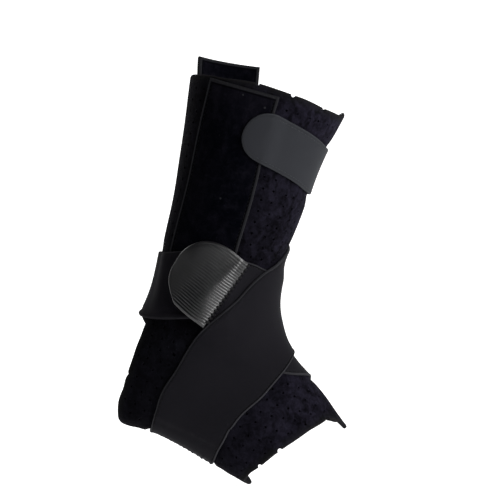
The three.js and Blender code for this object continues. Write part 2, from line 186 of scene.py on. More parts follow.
def looked_up(table, key):
    """A table's second and later columns at values of its first, eased from row to row."""
    table = np.array(table, float)
    key = np.asarray(key, float)
    i = np.clip(np.searchsorted(table[:, 0], key) - 1, 0, len(table) - 2)
    share = eased(key, table[i, 0], table[i + 1, 0])[..., None]
    return table[i, 1:] * (1 - share) + table[i + 1, 1:] * share


def in_millimetres(rows, reach, height, half):
    """Sections as shares, times the sizes that they are shares of."""
    return [np.array(row) * (reach, height, reach, height, half, 1, 1, 1) for row in rows]


SECTIONS = [
    *in_millimetres(LEG_SECTIONS, LEG_REACH, LEG_RISE, LEG_HALF_WIDTH),
    *in_millimetres(FOOT_SECTIONS, FOOT_REACH, FOOT_DROP, FOOT_HALF_WIDTH),
]
section_at = natural_spline(SECTIONS)


def form_point(down, degrees):
    """A point on the outside of the wrap: down is 0 at the top rim and 1 at the foot rim."""
    down, degrees = np.broadcast_arrays(np.asarray(down, float), np.asarray(degrees, float))
    section = section_at(down * (len(SECTIONS) - 1))
    front_x, front_z, back_x, back_z, half, egg, front_power, back_power = np.moveaxis(section, -1, 0)
    cos, sin = np.cos(np.radians(degrees)), np.sin(np.radians(degrees))
    power = np.where(cos > 0, front_power, back_power)
    radius = (np.abs(cos) ** power + np.abs(sin) ** power) ** (-1 / power)
    along = radius * cos
    across = radius * sin * (1 + egg * cos)
    x = (front_x + back_x) / 2 + (front_x - back_x) / 2 * along
    z = (front_z + back_z) / 2 + (front_z - back_z) / 2 * along
    return np.stack([x, -half * across, z], -1)


def unit(vectors):
    return vectors / np.maximum(np.linalg.norm(vectors, axis=-1, keepdims=True), 1e-12)


def dot(a, b):
    return (a * b).sum(-1)


def form_frame(down, degrees):
    """The same point with the surface's two directions and its outward normal."""
    by_down = (form_point(down + 1e-3, degrees) - form_point(down - 1e-3, degrees)) / 2e-3
    by_turn = (form_point(down, degrees + 0.25) - form_point(down, degrees - 0.25)) / 0.5
    return form_point(down, degrees), by_down, by_turn, unit(np.cross(by_turn, by_down))


def walk(down, degrees, heading, distance):
    """The places reached by walking straight over the form in a heading, for a distance."""
    steps = max(1, int(np.ceil(np.abs(distance).max() / 3)))
    stride = distance / steps
    ahead = np.broadcast_to(heading, distance.shape + (3,)).copy()
    down = np.broadcast_to(down, distance.shape).copy()
    degrees = np.broadcast_to(degrees, distance.shape).copy()
    for _ in range(steps):
        _, by_down, by_turn, normal = form_frame(down, degrees)
        ahead = unit(ahead - dot(ahead, normal)[..., None] * normal)
        dd, dt, tt = dot(by_down, by_down), dot(by_down, by_turn), dot(by_turn, by_turn)
        u, v = dot(by_down, ahead) * stride, dot(by_turn, ahead) * stride
        determinant = dd * tt - dt * dt
        down = down + (tt * u - dt * v) / determinant
        degrees = degrees + (dd * v - dt * u) / determinant
    return down, degrees


class Route:
    """A middle line over the form, measured along its length."""

    def __init__(self, rows):
        smooth = natural_spline(rows)
        self.places = smooth(np.linspace(0, len(rows) - 1, 40 * (len(rows) - 1) + 1))
        points = form_point(self.places[:, 0], self.places[:, 1])
        steps = np.linalg.norm(np.diff(points, axis=0), axis=1)
        self.lengths = np.concatenate([[0], np.cumsum(steps)])
        self.length = self.lengths[-1]

    def at(self, distance):
        return [np.interp(distance, self.lengths, self.places[:, column]) for column in (0, 1)]

    def under(self, along, across):
        """Places over the form at distances along the line (rows) and across it (rows, columns)."""
        down, degrees = self.at(along)
        normal = form_frame(down, degrees)[-1]
        forward = form_point(*self.at(along + 1)) - form_point(*self.at(along - 1))
        sideways = unit(np.cross(normal, forward))
        return walk(down[:, None], degrees[:, None], sideways[:, None, :], across)


class Layer:
    """Points on the form that a piece lies over, how high it reaches there, and how far in from its edge."""

    def __init__(self, points, top=0.0, edge=0.0):
        self.top, self.edge = (np.broadcast_to(values, points.shape[:-1]).ravel() for values in (top, edge))
        points = points.reshape(-1, 3)
        self.tree = KDTree(len(points))
        for k, point in enumerate(points):
            self.tree.insert(point, k)
        self.tree.balance()

    def nearest(self, points):
        """The nearest of its points to each of these, and how far off it is."""
        found = [self.tree.find(point)[1:] for point in points.reshape(-1, 3)]
        index, distance = (np.array(column) for column in zip(*found))
        return index.reshape(points.shape[:-1]), distance.reshape(points.shape[:-1])


def softened(grid, passes):
    """A grid of heights with each number eased towards its neighbours."""
    for _ in range(passes):
        grid = np.pad(grid, 1, mode="edge")
        grid = (grid[:-2] + 2 * grid[1:-1] + grid[2:]) / 4
        grid = (grid[:, :-2] + 2 * grid[:, 1:-1] + grid[:, 2:]) / 4
    return grid


def clear_height(points, layers, rest=LAYER_GAP, passes=4):
    """How high a piece lies over the form, to clear the layers under it and drape past their edges.

    More passes make it stiffer."""
    height = np.full(points.shape[:-1], float(rest))
    strict = height.copy()
    for layer in layers:
        index, distance = layer.nearest(points)
        top = layer.top[index] + LAYER_GAP
        height = np.maximum(height, top * (1 - eased(distance - DRAPE_MARGIN, 0, DRAPE_RUN)))
        strict = np.maximum(strict, np.where(distance < 1.5, top, 0))
    return softened(np.maximum(softened(height, passes), strict), passes // 6)


def rims_at(degrees):
    """How far down the form the top rim and the foot rim lie."""
    return np.moveaxis(looked_up(RIMS, degrees), -1, 0)


def opening_at(down):
    """The half angle of the heel opening, 0 above it and below it."""
    return np.interp(down, *np.array(HEEL_OPENING).T, left=0, right=0)


# ---- Meshes ----


def placed(name, data):
    """A new object in the scene."""
    thing = bpy.data.objects.new(name, data)
    bpy.context.scene.collection.objects.link(thing)
    return thing


def smooth_shaded(piece):
    piece.data.polygons.foreach_set("use_smooth", [True] * len(piece.data.polygons))
    return piece


def set_numbers(mesh, name, values):
    """One number per point, as an attribute."""
    data = mesh.attributes.new(name, "FLOAT", "POINT").data
    data.foreach_set("value", np.asarray(values, np.float32))


def mesh_piece(name, points, faces, material, uv=None, **attributes):
    """A mesh object from points in millimetres, with one number per point in each attribute."""
    mesh = bpy.data.meshes.new(name)
    mesh.from_pydata((np.asarray(points) * MM).tolist(), [], faces)
    for key, values in attributes.items():
        set_numbers(mesh, key, values)
    if uv is not None:
        corners = np.empty(len(mesh.loops), np.int32)
        mesh.loops.foreach_get("vertex_index", corners)
        mesh.uv_layers.new(name="cloth").data.foreach_set("uv", (np.asarray(uv)[corners] * MM).ravel())
    mesh.materials.append(material)
    mesh.update()
    return smooth_shaded(placed(name, mesh))


def outward(piece):
    """Turn a closed mesh's faces outwards."""
    mesh = piece.data
    mesh.calc_loop_triangles()
    at = np.array([v.co for v in mesh.vertices])
    corners = np.array([t.vertices for t in mesh.loop_triangles])
    a, b, c = at[corners[:, 0]], at[corners[:, 1]], at[corners[:, 2]]
    if dot(a, np.cross(b, c)).sum() < 0:
        mesh.flip_normals()
    return piece


def sheet_faces(rows, columns, ring=False):
    """Faces of a closed sheet whose points are a grid on one side, and then the same on the other."""
    i, j = np.meshgrid(np.arange(rows - 1), np.arange(columns if ring else columns - 1), indexing="ij")
    i, j = i.ravel(), j.ravel()
    k = (j + 1) % columns
    other = rows * columns
    a, b, c, d = i * columns + j, (i + 1) * columns + j, (i + 1) * columns + k, i * columns + k
    faces = [*zip(a, b, c, d), *zip(a + other, d + other, c + other, b + other)]
    j = np.arange(columns if ring else columns - 1)
    k = (j + 1) % columns
    end = (rows - 1) * columns
    faces += [*zip(j, k, k + other, j + other)]
    faces += [*zip(end + j, end + j + other, end + k + other, end + k)]
    if not ring:
        i = np.arange(rows - 1)
        for side, turned in ((0, False), (columns - 1, True)):
            a, b = i * columns + side, (i + 1) * columns + side
            rim = [*zip(a, a + other, b + other, b)]
            faces += [face[::-1] for face in rim] if turned else rim
    return [tuple(int(v) for v in face) for face in faces]


def rounded(edge, radius):
    """0 at a piece's edge and 1 from radius in, along a quarter of a circle."""
    return np.sqrt(np.clip(1 - (1 - np.clip(edge / radius, 0, 1)) ** 2, 0, 1))


def bump_at(x, middle, width):
    """1 at the middle, falling to 0 on both sides."""
    return np.exp(-(((x - middle) / width) ** 2))


def fuller(down, degrees):
    """How much fuller the foam stands than the form."""
    front, back = np.moveaxis(looked_up(FULLNESS, down), -1, 0)
    forward = np.cos(np.radians(degrees))
    return front * eased(forward, 0.2, 0.85) + back * eased(-forward, 0.5, 0.9)


laid = []
pressing = []  # where pieces press into the wrap's foam, and how deep


def press_in(rows, width, depth, run=PRESS_RUN, end=None):
    """Note that a ribbon along a route presses the foam in, and how far past it the foam is full again."""
    route = Route(rows)
    along = np.arange(0, end or route.length, 3.0)  # points 3 mm apart are close enough for soft foam
    across = np.broadcast_to(np.linspace(-width / 2, width / 2, 15), (len(along), 15))
    points = form_point(*route.under(along, across))
    pressing.append((Layer(points), depth, run))


def pressed(points):
    """How deep the foam is pressed in at points on the form."""
    deepest = np.zeros(points.shape[:-1])
    for layer, depth, run in pressing:
        _, distance = layer.nearest(points)
        deepest = np.maximum(deepest, depth * (1 - eased(distance, 1.5, run)))
    return deepest


press_in(SHIN_STRAP_ROUTE, SHIN_STRAP_WIDTH, 1.3)
press_in(LATERAL_PANEL_ROUTE, PANEL_WIDTH, 0.5)
press_in(MEDIAL_PANEL_ROUTE, PANEL_WIDTH, 0.5)
press_in(BAND_ROUTE, BAND_WIDTH, 0.4)
press_in(LATERAL_STRAP_ROUTE, STRAP_WIDTH, 0.5)
press_in(MEDIAL_STRAP_ROUTE, STRAP_WIDTH, 0.5)
for sole_route in (LATERAL_STRAP_ROUTE, MEDIAL_STRAP_ROUTE):  # deeper and closer round, under the sole
    press_in(sole_route, STRAP_WIDTH * STRAP_FLARE[0][1], 2.3, SOLE_RUN, 34)


def lay_cloth(
    name, route, along, across, edge, thickness, profile, material, rest=LAYER_GAP, shift=None, passes=4
):
    """A ribbon laid over the form and over what is laid already. Returns the piece and its grid.

    along is a distance per row, across one per row and column, and edge how far each point is from the
    piece's edge. profile gives the relief of the outside, and shift how far each row is lifted."""
    down, degrees = route.under(along, across)
    points, _, _, normals = form_frame(down, degrees)
    height = clear_height(points, laid, rest, passes)
    if shift is not None:
        height = height + shift(along)[:, None]
    swell = rounded(edge, thickness / 2)
    middle = height - pressed(points) + fuller(down, degrees) + thickness * 0.46
    outer = points + normals * (middle + swell * (thickness * 0.54 + profile(edge, across, along)))[..., None]
    inner = points + normals * (middle - swell * thickness * 0.46)[..., None]
    rows, columns = across.shape
    uv = np.stack([across, np.broadcast_to(along[:, None], across.shape)], -1).reshape(-1, 2)
    piece = mesh_piece(
        name,
        np.concatenate([outer.reshape(-1, 3), inner.reshape(-1, 3)]),
        sheet_faces(rows, columns),
        material,
        uv=np.concatenate([uv, uv]),
        edge=np.concatenate([edge.ravel(), edge.ravel()]),
        inside=np.repeat([0.0, 1.0], rows * columns),
    )
    outward(piece)
    grid = {"points": points, "normals": normals, "outer": outer, "top": height + thickness}
    grid.update(along=along, across=across, edge=edge, end=along[-1])
    return piece, grid


def remember(grid, rows=slice(None)):
    """Let later pieces lie over this one."""
    laid.append(Layer(grid["points"][rows], grid["top"][rows], grid["edge"][rows]))


def outside_at(grid, along, across, lift=0.0):
    """Points on a laid piece's outside, and the normals there."""
    rows, sides = grid["along"], grid["across"]
    along, across = np.broadcast_arrays(np.asarray(along, float), np.asarray(across, float))
    flat_along, flat_across = along.ravel(), across.ravel()
    fine = np.clip(np.interp(flat_along, rows, np.arange(len(rows))), 0, len(rows) - 1.001)
    found, turned = [], []
    for row, side in zip(fine, flat_across):
        i = int(row)
        f = row - i
        pair, lean = [], []
        for r in (i, i + 1):
            j = np.interp(side, sides[r], np.arange(sides.shape[1]))
            k = min(int(j), sides.shape[1] - 2)
            g = j - k
            pair.append(grid["outer"][r, k] * (1 - g) + grid["outer"][r, k + 1] * g)
            lean.append(grid["normals"][r, k] * (1 - g) + grid["normals"][r, k + 1] * g)
        found.append(pair[0] * (1 - f) + pair[1] * f)
        turned.append(lean[0] * (1 - f) + lean[1] * f)
    normals = unit(np.array(turned))
    points = np.array(found) + normals * lift
    return points.reshape(along.shape + (3,)), normals.reshape(along.shape + (3,))


# ---- Nodes ----


def add_node(tree, kind, settings=None, sockets=None):
    """A node with its settings, then the values or links of its input sockets."""
    node = tree.nodes.new(kind)
    for key, value in (settings or {}).items():
        setattr(node, key, value)
    for key, value in (sockets or {}).items():
        socket = node.inputs[key]
        if isinstance(value, Number):
            value = value.socket
        if isinstance(value, bpy.types.NodeSocket):
            tree.links.new(value, socket)
        else:
            socket.default_value = value
    return node


class Number:
    """A socket's number in a material, on which sums can be written."""

    def __init__(self, finish, socket):
        self.finish, self.socket = finish, socket

    def sum(self, operation, *others):
        values = dict(enumerate((self, *others)))
        node = add_node(self.finish.tree, "ShaderNodeMath", {"operation": operation}, values)
        return Number(self.finish, node.outputs[0])

    def __add__(self, other):
        return self.sum("ADD", other)

    def __mul__(self, other):
        return self.sum("MULTIPLY", other)

    def __rsub__(self, other):
        return (self * -1.0) + other

    __radd__ = __add__
    __rmul__ = __mul__

    def wave(self):
        return self.sum("SINE")

    def between(self, low, high):
        """0 below low and 1 above high, eased."""
        settings = {"interpolation_type": "SMOOTHSTEP"}
        sockets = {"Value": self, "From Min": low, "From Max": high}
        node = add_node(self.finish.tree, "ShaderNodeMapRange", settings, sockets)
        return Number(self.finish, node.outputs[0])


class Finish:
    """A material under construction."""

    def __init__(self, name):
        self.material = bpy.data.materials.new(name)
        self.material.use_nodes = True
        self.tree = self.material.node_tree
        self.tree.nodes.clear()

    def node(self, kind, settings=None, **sockets):
        named = {key.replace("_", " "): value for key, value in sockets.items()}
        return add_node(self.tree, kind, settings, named)

    def place(self, scale=(1, 1, 1)):
        """The place on the piece in metres, stretched."""
        here = self.node("ShaderNodeTexCoord").outputs["Object"]
        return self.node("ShaderNodeMapping", Vector=here, Scale=scale).outputs[0]

    def along(self):
        """The place on the cut cloth, across and along it in metres."""
        return self.node("ShaderNodeUVMap", {"uv_map": "cloth"}).outputs[0]

    def parts(self, vector):
        split = self.node("ShaderNodeSeparateXYZ", Vector=vector)
        return [Number(self, output) for output in split.outputs]

    def attribute(self, name):
        return Number(self, self.node("ShaderNodeAttribute", {"attribute_name": name}).outputs["Fac"])

    def noise(self, vector, scale, detail=2.0, roughness=0.5, distortion=0.0):
        sockets = {"Scale": scale, "Detail": detail, "Roughness": roughness, "Distortion": distortion}
        return Number(self, self.node("ShaderNodeTexNoise", None, Vector=vector, **sockets).outputs[0])

    def cells(self, vector, scale):
        """How far the nearest of many scattered points is."""
        return Number(self, self.node("ShaderNodeTexVoronoi", None, Vector=vector, Scale=scale).outputs[0])

    def mixed(self, share, first, second):
        """A colour between two others."""
        sockets = {0: share, 6: as_color(first), 7: as_color(second)}
        return add_node(self.tree, "ShaderNodeMix", {"data_type": "RGBA"}, sockets).outputs[2]

    def bump(self, height, depth, strength):
        sockets = {"Height": height, "Distance": depth * MM, "Strength": strength}
        return self.node("ShaderNodeBump", None, **sockets).outputs[0]

    def finished(self, **sockets):
        surface = self.node("ShaderNodeBsdfPrincipled", None, **sockets)
        self.node("ShaderNodeOutputMaterial", Surface=surface.outputs[0])
        return self.material


def as_color(value):
    return value if isinstance(value, bpy.types.NodeSocket) else (*value, 1)


# ---- Finishes ----

WALE, COURSE = 0.00062, 0.00085  # the strap knit's stitches across and along, in metres


def wrap_velour():
    """Brushed loop cloth on foam, painted lighter and more violet towards the front as painted sheen and
    light, with painted rim light along its edges, and a plain lining inside.
    """
    f = Finish("perforated_velour")
    here = f.place()
    tufts = f.noise(here, 1300, 3, 0.65)
    nap = f.noise(here, 330, 3, 0.6, 0.6)
    brushed = f.noise(f.place((1, 1, 0.7)), 95, 4, 0.6, 1.0).between(0.4, 0.64)
    clouds = f.noise(here, 26, 3, 0.5).between(0.35, 0.65)
    share = brushed * 0.4 + nap.between(0.33, 0.67) * 0.35 + clouds * 0.25
    # Painted sheen and light: the pile is painted lighter and more violet towards the front, where the light
    # falls.
    front = f.parts(here)[0].between(-0.02, 0.085)
    front_sheen = f.mixed(front, (0.0040, 0.0039, 0.0058), (0.0152, 0.0136, 0.0232))
    pile = f.mixed(share, (0.0010, 0.0009, 0.0014), front_sheen)
    # The rims' rounded cut faces are their own brownish colour; the grey band that fades out by 7 mm in from
    # every edge is painted rim light.
    rim = 1 - f.attribute("edge").between(0.6, 2.0)
    rim_light_band = 1 - f.attribute("edge").between(0.5, 7)
    rims_and_rim_light = f.mixed(rim * 0.6, f.mixed(rim_light_band * 0.5, pile, (0.0080, 0.0084, 0.0080)), (0.0130, 0.0118, 0.0120))
    lining = f.mixed(f.noise(here, 900, 2), (0.0085, 0.0078, 0.0075), (0.0150, 0.0135, 0.0125))
    color = f.mixed(f.attribute("inside"), rims_and_rim_light, lining)
    normal = f.bump(tufts * 0.5 + nap * 0.9, 0.45, 0.9)
    return f.finished(
        Base_Color=color, Roughness=0.92, Normal=normal, Sheen_Weight=0.01, Sheen_Roughness=0.3,
        Sheen_Tint=(0.66, 0.6, 0.9, 1), Specular_IOR_Level=0.02,
    )


def panel_velour():
    """The same cloth laid flat over the stays, less brushed, with bindings turned round the edges; the
    bindings are painted lighter, partly as a highlight, and the groove inside them holds painted shade.
    """
    f = Finish("stay_panel_velour")
    here = f.place()
    tufts = f.noise(here, 1500, 3, 0.65)
    nap = f.noise(here, 280, 3, 0.65, 0.6)
    crushed = f.noise(f.place((1, 1, 0.6)), 85, 5, 0.65, 1.2).between(0.42, 0.7)
    clouds = f.noise(here, 20, 3, 0.5).between(0.42, 0.7)
    share = crushed * 0.35 + nap.between(0.4, 0.8) * 0.3 + clouds * 0.35
    pile = f.mixed(share, (0.0003, 0.0005, 0.0014), (0.0062, 0.0056, 0.0086))
    lint = f.cells(here, 80).between(0.075, 0.05) * f.noise(here, 33, 2).between(0.53, 0.6)
    flecked = f.mixed(lint * 0.16, pile, (0.09, 0.09, 0.095))
    edge = f.attribute("edge")
    binding = 1 - edge.between(1.7, 2.4)
    # Painted shade: a near-black line in the groove just inside the binding.
    groove_shade = edge.between(2.2, 2.7) * (1 - edge.between(2.9, 3.6))
    # The binding is painted lighter than the pile: partly its own smoother cloth, partly a painted highlight
    # on its rolled edge.
    binding_and_highlight = f.mixed(binding, flecked, (0.0135, 0.0135, 0.0152))
    color = f.mixed(groove_shade * 0.8, binding_and_highlight, (0.0005, 0.0005, 0.0008))
    fine = f.noise(here, 2600, 2)
    normal = f.bump(tufts * 0.5 + nap * (1 - binding) * 0.9 + fine * binding * 0.3, 0.35, 0.9)
    return f.finished(
        Base_Color=color, Roughness=0.9, Normal=normal, Sheen_Weight=0.005, Sheen_Roughness=0.3,
        Sheen_Tint=(0.7, 0.66, 0.86, 1), Specular_IOR_Level=0.015,
    )


def strap_cloth(name, low, high, hem, seam, roughness):
    """A close smooth knit between two colours, in fine wales along it, with a rolled hem and a seam line."""
    f = Finish(name)
    x, y, _ = f.parts(f.along())
    wales = (x * (2 * np.pi / WALE)).wave() * 0.5 + 0.5
    courses = (y * (2 * np.pi / COURSE)).wave() * 0.5 + 0.5
    knit = wales * 0.6 + courses * 0.4
    here = f.place()
    cloud = f.noise(here, 38, 3, 0.55)
    grain = f.noise(here, 1900, 2, 0.6)
    body = f.mixed(cloud * 0.7 + grain * 0.3, low, high)
    edge = f.attribute("edge")
    rolled = 1 - edge.between(0.7, 1.2)
    line = edge.between(1.0, 1.4) * (1 - edge.between(1.8, 2.3))
    color = f.mixed(line * 0.7, f.mixed(rolled * 0.7, body, hem), seam)
    normal = f.bump(knit * 0.4 + grain * 0.5, 0.09, 0.8)
    return f.finished(
        Base_Color=color, Roughness=roughness, Normal=normal, Sheen_Weight=0.01, Sheen_Roughness=0.4,
        Sheen_Tint=(0.9, 0.9, 1, 1), Specular_IOR_Level=0.05,
    )


def tab_plastic():
    """Satin moulded plastic, a little rubbed on its ribs."""
    f = Finish("ribbed_tab_plastic")
    here = f.place()
    rubbed = f.noise(here, 120, 3, 0.6).between(0.35, 0.7)
    fine = f.noise(here, 2400, 2)
    color = f.mixed(rubbed * 0.6, (0.0014, 0.0014, 0.0022), (0.0038, 0.0038, 0.0052))
    rough = rubbed * 0.05 + fine * 0.04 + 0.27
    normal = f.bump(fine, 0.02, 0.6)
    return f.finished(Base_Color=color, Roughness=rough, Normal=normal, Specular_IOR_Level=0.9)


def thread(name, low, high, roughness=0.7, shine=0.1):
    """Twisted sewing thread."""
    f = Finish(name)
    twist = f.noise(f.place(), 3200, 2, 0.5)
    color = f.mixed(twist, low, high)
    normal = f.bump(twist, 0.05, 0.7)
    return f.finished(Base_Color=color, Roughness=roughness, Normal=normal, Specular_IOR_Level=shine)


def studio_floor():
    """Matt white paper, lit up behind and under the brace so that it reads as white."""
    f = Finish("pale_floor")
    here = f.place()
    color = f.mixed(f.noise(here, 3, 2), (0.9, 0.9, 0.9), (0.93, 0.93, 0.93))
    glow = f.mixed(f.parts(here)[1].between(-0.2, -0.09), (0, 0, 0), (1, 1, 1))
    return f.finished(
        Base_Color=color, Roughness=0.9, Specular_IOR_Level=0.1, Emission_Color=glow, Emission_Strength=0.85
    )


# ---- Places on the pieces ----

EDGE_COLUMNS = np.array([0, 0.12, 0.3, 0.55, 0.9, 1.3, 1.7, 2.1, 2.5, 2.9, 3.3, 3.9, 4.8])


def columns_across(halves, step=2.2):
    """Distances across a ribbon, one row per half width, close together near both edges."""
    halves = np.atleast_1d(halves)[:, None]
    deep = EDGE_COLUMNS[-1]
    close = EDGE_COLUMNS * np.minimum(1, halves / (2 * deep))
    shares = np.linspace(0, 1, int(np.ceil((halves.max() - deep) / step)) + 1)[1:]
    open_part = close[:, -1:] + (halves - close[:, -1:]) * shares
    from_edge = np.concatenate([close, open_part], 1)
    left = from_edge - halves
    return np.concatenate([left, -left[:, -2::-1]], 1)


def rows_along(start, end, step=2.2):
    """Distances along a ribbon, close together near both ends."""
    deep = EDGE_COLUMNS[-1]
    count = int(np.ceil((end - start - 2 * deep) / step))
    middle = np.linspace(start + deep, end - deep, count + 1)[1:-1]
    return np.concatenate([start + EDGE_COLUMNS, middle, end - EDGE_COLUMNS[::-1]])


def square_edge(along, across, halves, end):
    """How far in from the edge each point of a ribbon with square ends is."""
    sides = np.atleast_1d(halves)[:, None] - np.abs(across)
    ends = np.minimum(along, end - along)[:, None]
    return np.minimum(sides, ends)


def corner_edge(across, half, corner, drop):
    """How far in from two rounded corners each point is. Each row lies drop past where they begin."""
    beyond = np.clip(np.abs(across) - (half - corner), 0, None)
    return corner - np.hypot(drop[:, None], beyond)


# ---- The pieces that lie on the wrap ----

velour, panel_cloth = wrap_velour(), panel_velour()
strap_knit = strap_cloth(
    "crossing_strap_knit", (0.0052, 0.0049, 0.0066), (0.0075, 0.0071, 0.0091),
    (0.027, 0.027, 0.030), (0.0020, 0.0020, 0.0024), 0.8,
)
band_knit = strap_cloth(
    "ankle_band_knit", (0.0022, 0.0020, 0.0030), (0.0078, 0.0070, 0.0098),
    (0.0120, 0.0116, 0.0136), (0.004, 0.004, 0.005), 0.9,
)
shin_knit = strap_cloth(
    "shin_strap_cloth", (0.0192, 0.0203, 0.0236), (0.0226, 0.0236, 0.0274),
    (0.0305, 0.032, 0.036), (0.0195, 0.0205, 0.023), 0.7,
)
tab_finish = tab_plastic()
dark_thread = thread("dark_thread", (0.0025, 0.0025, 0.003), (0.0065, 0.0065, 0.0075))
cord_thread = thread("overcast_thread", (0.0010, 0.0010, 0.0012), (0.0030, 0.0030, 0.0035), 0.42, 0.12)
shin_thread = thread("charcoal_thread", (0.026, 0.027, 0.030), (0.040, 0.041, 0.045))


def panel(name, rows, stand_off):
    """A stay pocket with bound edges, gathered at one top corner."""
    route = Route(rows)
    along = rows_along(0, route.length)
    halves = PANEL_WIDTH / 2 * (1 + (PANEL_TAPER - 1) * along / route.length)
    across = columns_across(halves)
    edge = square_edge(along, across, halves, route.length)

    def relief(edge, across, along):
        rolled = 0.35 * bump_at(edge, 1.1, 0.9) - 0.5 * bump_at(edge, 3.0, 0.6)
        gathers = sum(bump_at(across, middle, 0.55) for middle in (14.5, 17, 20.3))
        gathered = gathers * (1 - eased(along, 3, 9))[:, None] * eased(edge, 0.4, 1.6)
        return rolled + 0.3 * eased(edge, 5, 16) + 0.6 * gathered

    def off(along):
        return stand_off * (1 - eased(along, 0, 28))

    body = PANEL_THICKNESS - 0.6  # the relief makes up the rest
    return lay_cloth(name, route, along, across, edge, body, relief, panel_cloth, shift=off)


def crossing_strap(name, rows):
    """A strap from the middle of the sole to the seam under its hook tab."""
    route = Route(rows)
    end = STRAP_LENGTH + TAB_SEAM
    along = rows_along(0, end)
    halves = STRAP_WIDTH / 2 * looked_up(STRAP_FLARE, along)[:, 0]
    across = columns_across(halves)
    edge = square_edge(along, across, halves, end)

    def relief(edge, across, along):
        return 0.22 * bump_at(edge, 0.9, 0.5) - 0.28 * bump_at(edge, 1.9, 0.35)

    return lay_cloth(name, route, along, across, edge, STRAP_THICKNESS, relief, strap_knit)


lateral_panel, lateral_panel_grid = panel("lateral_stay_panel_cloth", LATERAL_PANEL_ROUTE, 0)
remember(lateral_panel_grid)
medial_panel, medial_panel_grid = panel("medial_stay_panel_cloth", MEDIAL_PANEL_ROUTE, MEDIAL_STAND_OFF)
remember(medial_panel_grid)


def ankle_band():
    """The band behind the ankle, with a rolled lower rim."""
    route = Route(BAND_ROUTE)
    along = rows_along(0, route.length)
    across = columns_across(np.full(len(along), BAND_WIDTH / 2))
    edge = square_edge(along, across, BAND_WIDTH / 2, route.length)

    def relief(edge, across, along):
        low_rim = BAND_WIDTH / 2 - across
        return 0.75 * bump_at(low_rim, 1.9, 1.5) - 0.25 * bump_at(low_rim, 5.0, 1.2)

    return lay_cloth("achilles_band_cloth", route, along, across, edge, BAND_THICKNESS, relief, band_knit)


band, band_grid = ankle_band()
remember(band_grid)
medial_strap, medial_strap_grid = crossing_strap("medial_strap_cloth", MEDIAL_STRAP_ROUTE)
remember(medial_strap_grid, medial_strap_grid["along"] > SOLE_STRETCH)
lateral_strap, lateral_strap_grid = crossing_strap("lateral_strap_cloth", LATERAL_STRAP_ROUTE)
remember(lateral_strap_grid)


def hook_tab(name, rows):
    """A moulded tab with one straight edge and an arc, bent down towards the straight edge."""
    route = Route(rows)
    tip = STRAP_LENGTH + TAB_DEPTH
    turns = np.radians(np.concatenate([[3, 7, 12], np.arange(18, 91, 4.5)]))
    arc = (tip - TAB_CORNER * (1 - np.cos(turns)))[::-1]
    start = STRAP_LENGTH + np.array([0, 0.12, 0.3, 0.55, 0.9])
    sides = np.arange(start[-1] + 1.4, tip - TAB_CORNER - 0.8, 1.6)
    along = np.concatenate([start, sides, arc])
    drop = np.clip(along - (tip - TAB_CORNER), 0, None)
    halves = TAB_WIDTH / 2 - TAB_CORNER + np.sqrt(TAB_CORNER**2 - drop**2)
    across = columns_across(halves, 1.6)
    from_arc = corner_edge(across, TAB_WIDTH / 2, TAB_CORNER, drop)
    edge = np.maximum(np.minimum(from_arc, (along - STRAP_LENGTH)[:, None]), 0)

    def relief(edge, across, along):
        return 0.1 * bump_at(edge, 1.0, 0.5)

    def bend(along):
        inward = along - STRAP_LENGTH
        return TAB_BEND * ((inward + TAB_BEND_RUN - np.hypot(inward - TAB_BEND_RUN, 2.0)) / 2)

    return lay_cloth(
        name, route, along, across, edge, TAB_THICKNESS, relief, tab_finish, TAB_LIFT, bend, TAB_STIFFNESS
    )


lateral_tab, lateral_tab_grid = hook_tab("lateral_hook_tab_plate", MEDIAL_STRAP_ROUTE)
medial_tab, medial_tab_grid = hook_tab("medial_hook_tab_plate", LATERAL_STRAP_ROUTE)
remember(lateral_tab_grid)
remember(medial_tab_grid)


def shin_strap():
    """The strap round the shin, with a rounded free end."""
    route = Route(SHIN_STRAP_ROUTE)
    corner, half, end = SHIN_STRAP_CORNER, SHIN_STRAP_WIDTH / 2, route.length
    turns = np.radians(np.concatenate([[4, 8, 13], np.arange(19, 90, 6)]))
    tip = corner * (1 - np.cos(turns))
    rest = rows_along(corner - EDGE_COLUMNS[-1], end)
    along = np.concatenate([tip, rest[rest > corner]])
    drop = np.clip(corner - along, 0, None)
    halves = half - corner + np.sqrt(corner**2 - drop**2)
    across = columns_across(halves)
    edge = np.minimum(half - np.abs(across), (end - along)[:, None])
    edge = np.minimum(edge, corner_edge(across, half, corner, drop))

    def relief(edge, across, along):
        return -0.08 * bump_at(edge, 2.6, 0.35)

    return lay_cloth("shin_strap_cloth", route, along, across, edge, SHIN_STRAP_THICKNESS, relief, shin_knit)


shin, shin_grid = shin_strap()
remember(shin_grid)


# ---- What repeats, by geometry nodes ----


def node_group(name, numbers=(), objects=(), materials=("Finish",)):
    """An empty tree with a geometry input and output, and named inputs."""
    tree = bpy.data.node_groups.new(name, "GeometryNodeTree")
    tree.interface.new_socket("Geometry", in_out="INPUT", socket_type="NodeSocketGeometry")
    for kind, keys in (("Float", numbers), ("Object", objects), ("Material", materials)):
        for key in keys:
            tree.interface.new_socket(key, in_out="INPUT", socket_type="NodeSocket" + kind)
    tree.interface.new_socket("Geometry", in_out="OUTPUT", socket_type="NodeSocketGeometry")
    return tree, tree.nodes.new("NodeGroupInput").outputs


def attribute_of(tree, name, kind="FLOAT"):
    node = add_node(tree, "GeometryNodeInputNamedAttribute", {"data_type": kind}, {"Name": name})
    return node.outputs["Attribute"]


def finish_tree(tree, geometry, material):
    real = add_node(tree, "GeometryNodeRealizeInstances", None, {"Geometry": geometry}).outputs[0]
    sockets = {"Geometry": real, "Material": material}
    worn = add_node(tree, "GeometryNodeSetMaterial", None, sockets).outputs[0]
    tree.links.new(worn, tree.nodes.new("NodeGroupOutput").inputs[0])
    return tree


def object_in(tree, socket):
    return add_node(tree, "GeometryNodeObjectInfo", None, {"Object": socket}).outputs["Geometry"]


